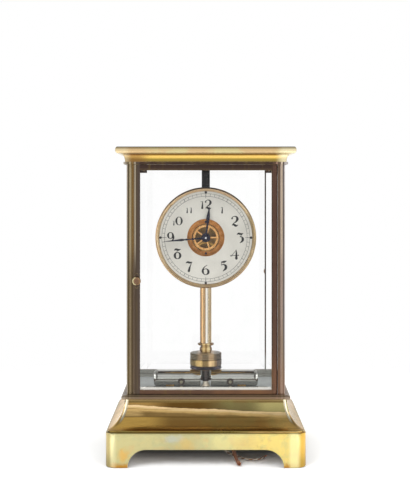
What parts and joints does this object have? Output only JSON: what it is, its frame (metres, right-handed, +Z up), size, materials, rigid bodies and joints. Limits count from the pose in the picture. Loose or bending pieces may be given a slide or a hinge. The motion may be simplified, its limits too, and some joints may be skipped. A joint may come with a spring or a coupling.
{
  "type": "crystal regulator clock",
  "caption": "Four-glass mantel clock: brass case with bevelled glass, dial with open centre, brass pendulum over an electromagnet and two battery leads.",
  "frame": {"origin": "centre of the base footprint, on the table", "axes": "+Z up, +X to the right of a person facing the dial, +Y to the back; the dial faces -Y"},
  "size_m": [0.19, 0.167, 0.3031],
  "materials": {
    "polished_brass": "polished brass, lacquered, with patina in patches",
    "aged_brass": "polished brass gone golden brown",
    "dark_patina": "brass with a dark brown patina, worn bright along the edges",
    "silvered_floor": "silvered, dull",
    "clear_glass": "clear bevelled plate glass",
    "steel_fittings": "plain steel",
    "gilt_brass": "gilt brass, bright",
    "dark_bronze": "bronzed, nearly black",
    "movement_brass": "grained brass",
    "pale_brass": "pale brass, grained",
    "silvered_dial": "silvered off-white, fine circular grain",
    "copper_plate": "coppered, brown",
    "blued_steel": "blued steel, dark",
    "rod_brass": "polished brass, warm",
    "grey_steel": "grey steel, ribbed",
    "dark_iron": "soft iron, blackened",
    "ebonite": "hard rubber with a dark metal cap",
    "nickel_plate": "polished nickel plate",
    "copper_wire": "enamelled copper wire, wound",
    "ivory_porcelain": "ivory-white glazed insulator",
    "brown_cloth": "brown cloth-covered lead",
    "braided_cotton": "braided cotton-covered lead"
  },
  "bodies": {
    "case": {"base_block": "polished_brass", "cornice": "polished_brass", "base_cove": "aged_brass", "base_moulding": "dark_patina", "corner_posts": "dark_patina", "side_frame_left": "dark_patina", "side_frame_right": "dark_patina", "ceiling_plate": "dark_patina", "floor_plate": "silvered_floor", "side_glass_left": "clear_glass", "side_glass_right": "clear_glass", "case_screws": "steel_fittings", "plate_screws": "steel_fittings", "suspension_spring": "steel_fittings", "bezel": "gilt_brass", "lead_posts": "gilt_brass", "hanger": "dark_bronze", "movement_band": "movement_brass", "back_plate": "movement_brass", "plate_pillars": "movement_brass", "coil_saddles": "movement_brass", "contact_spring": "movement_brass", "dial": "silvered_dial", "front_plate": "copper_plate", "eye_ring": "copper_plate", "iron_core": "dark_iron", "pole_post": "dark_iron", "contact_block": "ebonite", "coil_terminals": "ebonite", "coil_tube_left": "nickel_plate", "coil_tube_right": "nickel_plate", "coil_windings": "copper_wire", "ivory_foot": "ivory_porcelain", "brown_lead": "brown_cloth", "braided_lead": "braided_cotton"},
    "front_door": {"front_door": "dark_patina", "front_glass": "clear_glass", "front_pins": "steel_fittings"},
    "front_latch": {"front_latch": "gilt_brass"},
    "rear_door": {"rear_door": "dark_patina", "rear_glass": "clear_glass", "rear_pins": "steel_fittings"},
    "rear_latch": {"rear_latch": "gilt_brass"},
    "minute_hand": {"minute_hand": "blued_steel", "cannon_pinion": "steel_fittings", "hand_nut": "steel_fittings"},
    "hour_hand": {"hour_hand": "blued_steel", "hour_wheel": "pale_brass"},
    "minute_wheel": {"minute_wheel": "movement_brass"},
    "centre_wheel": {"centre_wheel": "movement_brass"},
    "intermediate_wheel": {"intermediate_wheel": "movement_brass"},
    "count_wheel": {"count_wheel": "movement_brass"},
    "pendulum": {"pendulum_strap": "steel_fittings", "pendulum_rod": "rod_brass", "rod_ferrule": "rod_brass", "bob_ring": "rod_brass", "iron_disc": "dark_iron", "pawl_arm": "steel_fittings"},
    "rating_nut": {"rating_nut": "grey_steel"},
    "pawl": {"pawl": "steel_fittings"}
  },
  "joints": [
    {"name": "front_door_hinge", "type": "hinge", "parent": "case", "child": "front_door", "pos_m": [0.06575, -0.061, 0.17], "axis": [0, 0, 1], "range_deg": [0, 90]},
    {"name": "front_latch_turn", "type": "hinge", "parent": "front_door", "child": "front_latch", "pos_m": [-0.06625, -0.061, 0.1748], "axis": [0, 1, 0], "range_deg": [0, 90]},
    {"name": "rear_door_hinge", "type": "hinge", "parent": "case", "child": "rear_door", "pos_m": [-0.06575, 0.061, 0.17], "axis": [0, 0, 1], "range_deg": [0, 90]},
    {"name": "rear_latch_turn", "type": "hinge", "parent": "rear_door", "child": "rear_latch", "pos_m": [0.06625, 0.061, 0.1748], "axis": [0, -1, 0], "range_deg": [0, 90]},
    {"name": "minute_hand_turn", "type": "hinge", "parent": "case", "child": "minute_hand", "pos_m": [0, -0.04, 0.2151], "axis": [0, 1, 0], "continuous": true},
    {"name": "hour_hand_turn", "type": "hinge", "parent": "case", "child": "hour_hand", "pos_m": [0, -0.038, 0.2151], "axis": [0, 1, 0], "continuous": true},
    {"name": "minute_wheel_turn", "type": "hinge", "parent": "case", "child": "minute_wheel", "pos_m": [0, -0.033, 0.19935], "axis": [0, 1, 0], "continuous": true},
    {"name": "intermediate_turn", "type": "hinge", "parent": "case", "child": "intermediate_wheel", "pos_m": [-0.01562, -0.025, 0.22375], "axis": [0, 1, 0], "continuous": true},
    {"name": "count_wheel_turn", "type": "hinge", "parent": "case", "child": "count_wheel", "pos_m": [0, -0.02, 0.2327], "axis": [0, 1, 0], "continuous": true},
    {"name": "centre_turn", "type": "hinge", "parent": "case", "child": "centre_wheel", "pos_m": [0, -0.026, 0.2151], "axis": [0, 1, 0], "continuous": true},
    {"name": "pendulum_swing", "type": "hinge", "parent": "case", "child": "pendulum", "pos_m": [0, -0.005, 0.2579], "axis": [0, 1, 0], "range_deg": [-3, 3], "deforming": ["suspension_spring"]},
    {"name": "rating_nut_turn", "type": "hinge", "parent": "pendulum", "child": "rating_nut", "pos_m": [0, -0.005, 0.0955], "axis": [0, 0, 1], "continuous": true},
    {"name": "pawl_lift", "type": "hinge", "parent": "pendulum", "child": "pawl", "pos_m": [0.01, -0.0148, 0.2443], "axis": [0, 1, 0], "range_deg": [0, 20]}
  ],
  "couplings": [
    {"joint": "hour_hand_turn", "follows": "minute_hand_turn", "ratio": 0.083333},
    {"joint": "minute_wheel_turn", "follows": "minute_hand_turn", "ratio": -0.33333},
    {"joint": "count_wheel_turn", "follows": "intermediate_turn", "ratio": -8},
    {"joint": "centre_turn", "follows": "intermediate_turn", "ratio": -0.13333}
  ]
}
